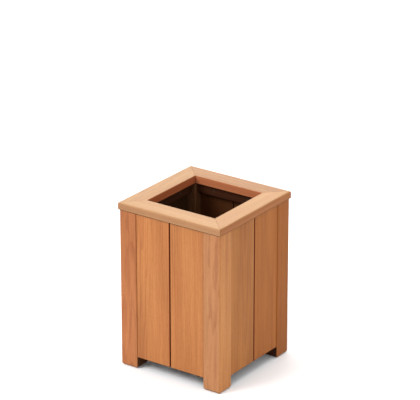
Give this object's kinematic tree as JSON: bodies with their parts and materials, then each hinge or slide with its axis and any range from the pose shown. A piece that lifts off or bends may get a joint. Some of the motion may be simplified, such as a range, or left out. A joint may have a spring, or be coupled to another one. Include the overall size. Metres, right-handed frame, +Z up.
{
  "type": "wooden planter",
  "caption": "Square timber planter with corner posts as feet, tongued and grooved board walls, a mitred cap frame and a slatted, drained floor.",
  "frame": {"origin": "centre of the footprint, on the plane of the feet that rests on the ground", "axes": "+Z up, -Y out of the front wall, +X out of the right wall"},
  "size_m": [0.272, 0.272, 0.39],
  "materials": {
    "post_timber": "oiled, satin",
    "board_timber": "oiled, satin",
    "cap_timber": "oiled, satin",
    "inner_timber": "planed, unfinished",
    "biscuit_beech": "compressed beech",
    "coated_steel": "brown screw coating"
  },
  "bodies": {
    "root": {"front_right_post": "post_timber", "back_right_post": "post_timber", "back_left_post": "post_timber", "front_left_post": "post_timber", "front_board_1": "board_timber", "front_board_2": "board_timber", "right_board_1": "board_timber", "right_board_2": "board_timber", "back_board_1": "board_timber", "back_board_2": "board_timber", "left_board_1": "board_timber", "left_board_2": "board_timber", "front_top_rail": "inner_timber", "right_top_rail": "inner_timber", "back_top_rail": "inner_timber", "left_top_rail": "inner_timber", "front_base_rail": "inner_timber", "right_base_rail": "inner_timber", "back_base_rail": "inner_timber", "left_base_rail": "inner_timber", "floor_slat_1": "inner_timber", "floor_slat_2": "inner_timber", "floor_slat_3": "inner_timber", "front_cap_rail": "cap_timber", "right_cap_rail": "cap_timber", "back_cap_rail": "cap_timber", "left_cap_rail": "cap_timber", "mitre_biscuits": "biscuit_beech", "front_wall_screws": "coated_steel", "right_wall_screws": "coated_steel", "back_wall_screws": "coated_steel", "left_wall_screws": "coated_steel", "floor_screws": "coated_steel", "cap_screws": "coated_steel"}
  },
  "joints": []
}
